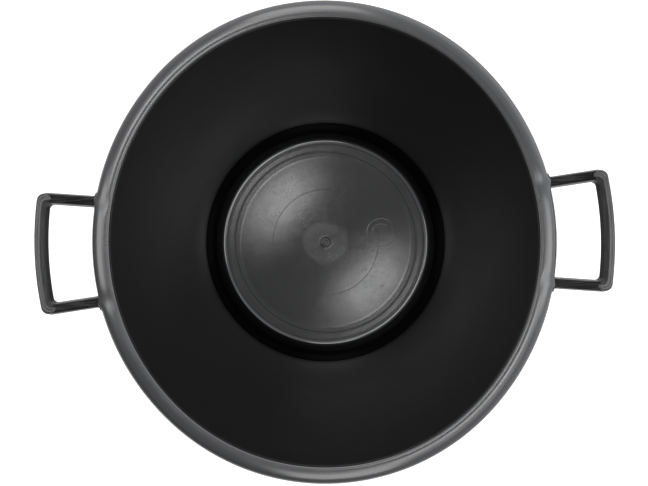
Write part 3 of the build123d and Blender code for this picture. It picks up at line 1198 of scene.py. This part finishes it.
    def bar_grip(self) -> Piece:
        """The grip over the bar: a rounded cap with a fine line along it, carried from tip to tip.

        Its section leans in with the draft. A smooth crest runs along the outside and slopes down to the
        inside. Towards each tip it narrows and sinks as a quarter of an ellipse does, down to a point.

        Returns:
            The piece.
        """
        outer, inner, middle_x = self.edges()
        keep = middle_x >= self.grip_start
        past_tip = np.clip((middle_x[keep] - self.grip_start + self.tip_lead) / self.tongue, 0, 1)
        full = np.sqrt(1 - (1 - past_tip) ** 2)[:, None]
        half = self.width / 2
        base, inside, top = self.core_depth - self.grip_bury, self.depth - self.grip_slope, self.depth
        low_half, inside_half, top_half = (
            half - self.draft * level / self.depth for level in (base, inside, top)
        )
        corners = np.array(
            [
                (-low_half, base),
                (low_half, base),
                (top_half, top),
                (self.grip_crest, top),
                (-inside_half, inside),
            ]
        )
        radii = [0.2, 0.2, self.grip_round, 1.5, 2.0]
        across, up = spread_points(rounded_loop(corners, radii, steps=14), step=0.35).T
        up = (up - self.grip_line.at(across) * (up > 0.5 * (base + top)))[None]
        sunk = self.depth - self.arm_step - self.tip_sink
        height = np.maximum(up - sunk, 0) * full + np.minimum(up, sunk)
        points = self.between(outer[keep], inner[keep], across[None] / half * full, height)
        return piece_from_grid(f"{self.side.word}_grip", points, End.CAPPED)


@dataclass(frozen=True)
class Softbox:
    """A soft lamp that faces the mouth of the tub.

    Attributes:
        zenith: Its angle from straight above, in degrees.
        distance: From the middle of the mouth, in metres.
        size: Its width across the line of sight and its height along it, in metres.
        power: In watts.
    """

    zenith: float
    distance: float
    size: Span
    power: float


OVERHEAD = Softbox(16.0, 1.44, (0.64, 0.28), 1.18)
OVERHEAD_CORE = Softbox(16.0, 1.40, (0.35, 0.25), 0.94)
SIDE_LAMP = Softbox(50.0, 0.515, (0.21, 0.22), 0.37)
FILL_LEFT = Softbox(29.0, 1.58, (0.60, 0.40), 0.46)
FILL_RIGHT = Softbox(31.5, 1.62, (0.75, 0.54), 1.36)
FILL_BACK = Softbox(30.0, 1.60, (0.60, 0.44), 0.28)


@dataclass
class Studio:
    """The plain stage: pale floor, soft lamps, and the camera straight above the tub.

    Lengths are in metres and angles in degrees. The room's values are strengths of its light.
    """

    eye: tuple[float, float, float] = (0.0056, -0.0003, 1.340)
    aim: tuple[float, float, float] = (-0.0002, -0.0008, 0.340)
    roll: float = -2.4
    pixels_per_radian: float = 1000.0
    picture_width: int = 648
    mouth_height: float = 0.30
    lamp_colour: Colour = (1.0, 0.985, 0.965)
    floor_size: float = 14.0
    paper: float = 0.82
    paper_lift: float = 0.55
    room_above: float = 0.56
    room_low: float = 0.58
    room_side_above: float = 0.10
    room_side_low: float = 0.78
    room_least: float = 0.1

    def build(self) -> None:
        """Makes the camera, the floor, the world and the lamps.

        Each overhead lamp has a smaller one in front of it, so that its reflection fades at its ends.
        """
        self.camera()
        self.floor()
        self.world()
        for name, azimuth in (("left", 135.0), ("right", 315.0)):
            self.lamp(f"overhead_{name}", azimuth, OVERHEAD)
            self.lamp(f"overhead_core_{name}", azimuth, OVERHEAD_CORE)
        for name, azimuth in (("right", 355.0), ("back", 93.0), ("left", 177.0), ("front", 272.0)):
            self.lamp(f"side_{name}", azimuth, SIDE_LAMP)
        self.lamp("fill_left", 135.0, FILL_LEFT)
        self.lamp("fill_right", 315.0, FILL_RIGHT)
        self.lamp("fill_back", 45.0, FILL_BACK)

    def camera(self) -> None:
        """The camera looks down on the tub, rolled so that the handles' line rises to the right."""
        lens = bpy.data.cameras.new("photo_camera")
        lens.sensor_width = 36.0
        lens.lens = lens.sensor_width * self.pixels_per_radian / self.picture_width
        lens.clip_end = 50.0
        camera = bpy.data.objects.new("photo_camera", lens)
        bpy.context.scene.collection.objects.link(camera)
        camera.location = self.eye
        look = Vector(self.aim) - Vector(self.eye)
        swing = Vector((0, 0, -1)).rotation_difference(look.normalized())
        camera.rotation_mode = "QUATERNION"
        camera.rotation_quaternion = swing @ Quaternion((0, 0, 1), math.radians(self.roll))
        bpy.context.scene.camera = camera

    def floor(self) -> None:
        """A pale floor: plain diffuse to the lamps, and lifted to white where it is seen or mirrored."""
        half = self.floor_size / 2
        corners = [(-half, -half, 0), (half, -half, 0), (half, half, 0), (-half, half, 0)]
        mesh = bpy.data.meshes.new("studio_floor")
        mesh.from_pydata(corners, [], [(0, 1, 2, 3)])
        floor = bpy.data.objects.new("studio_floor", mesh)
        bpy.context.scene.collection.objects.link(floor)
        material = bpy.data.materials.new("studio_paper")
        material.use_nodes = True
        net = Net(material.node_tree)
        shader = net.tree.nodes["Principled BSDF"].inputs
        net.feed(shader["Base Color"], (self.paper, self.paper, self.paper, 1.0))
        net.feed(shader["Roughness"], 0.9)
        net.feed(shader["Specular IOR Level"], 0.1)
        net.feed(shader["Emission Color"], (1.0, 1.0, 1.0, 1.0))
        path = net.add("LightPath", {}).outputs
        seen = net.maths("MAXIMUM", path["Is Camera Ray"], path["Is Glossy Ray"])
        seen = net.maths("MAXIMUM", seen, path["Is Transmission Ray"])
        net.feed(shader["Emission Strength"], net.times(seen, self.paper_lift))
        mesh.materials.append(material)

    def world(self) -> None:
        """The room: dim overhead, brighter towards the horizon and on one side, white to the camera.

        Its strength is a level overhead, plus a part that grows with the square of the sine of the angle
        from straight up, plus the part along the direction halfway between +X and +Y, which grows too.
        """
        world = bpy.data.worlds.new("studio_world")
        bpy.context.scene.world = world
        world.use_nodes = True
        net = Net(world.node_tree)
        background = net.tree.nodes["Background"].inputs
        net.feed(background["Color"], (1.0, 1.0, 1.0, 1.0))
        direction = net.add("TexCoord", {}).outputs["Generated"]
        side = net.vectors("DOT_PRODUCT", direction, (math.sqrt(0.5), math.sqrt(0.5), 0.0))["Value"]
        up = net.split(direction)[2]
        low = net.maths("SUBTRACT", 1.0, net.times(up, up))
        level = net.more(self.room_above, low, self.room_low)
        sided = net.times(side, net.more(self.room_side_above, low, self.room_side_low))
        room = net.maths("MAXIMUM", net.maths("ADD", sided, level), self.room_least)
        seen = net.add("LightPath", {}).outputs["Is Camera Ray"]
        net.feed(background["Strength"], net.maths("MAXIMUM", room, seen))

    def lamp(self, name: str, azimuth: float, box: Softbox) -> None:
        """Hangs a softbox.

        Args:
            name: The lamp's name.
            azimuth: Its direction round the tub, from +X towards +Y.
            box: The softbox.
        """
        light = bpy.data.lights.new(name, "AREA")
        light.shape = "RECTANGLE"
        light.size, light.size_y = box.size
        light.energy = box.power
        light.color = self.lamp_colour
        lamp = bpy.data.objects.new(name, light)
        bpy.context.scene.collection.objects.link(lamp)
        around, down = math.radians(azimuth), math.radians(box.zenith)
        level = math.sin(down)
        away = Vector((level * math.cos(around), level * math.sin(around), math.cos(down)))
        lamp.location = Vector((0, 0, self.mouth_height)) + box.distance * away
        lamp.rotation_mode = "QUATERNION"
        lamp.rotation_quaternion = away.to_track_quat("Z", "Y")
        lamp.visible_camera = False


def main() -> None:
    """Builds the shell, both handles and the studio, in that order."""
    logging.basicConfig(level=logging.INFO, format="%(name)s: %(message)s")
    bpy.context.scene.view_settings.view_transform = "Standard"
    dresser = Dresser(Finishes())
    TubShell(dresser=dresser).build()
    for side in Side:
        LoopHandle(side, dresser=dresser).build()
    Studio().build()


if __name__ == "__main__":
    main()
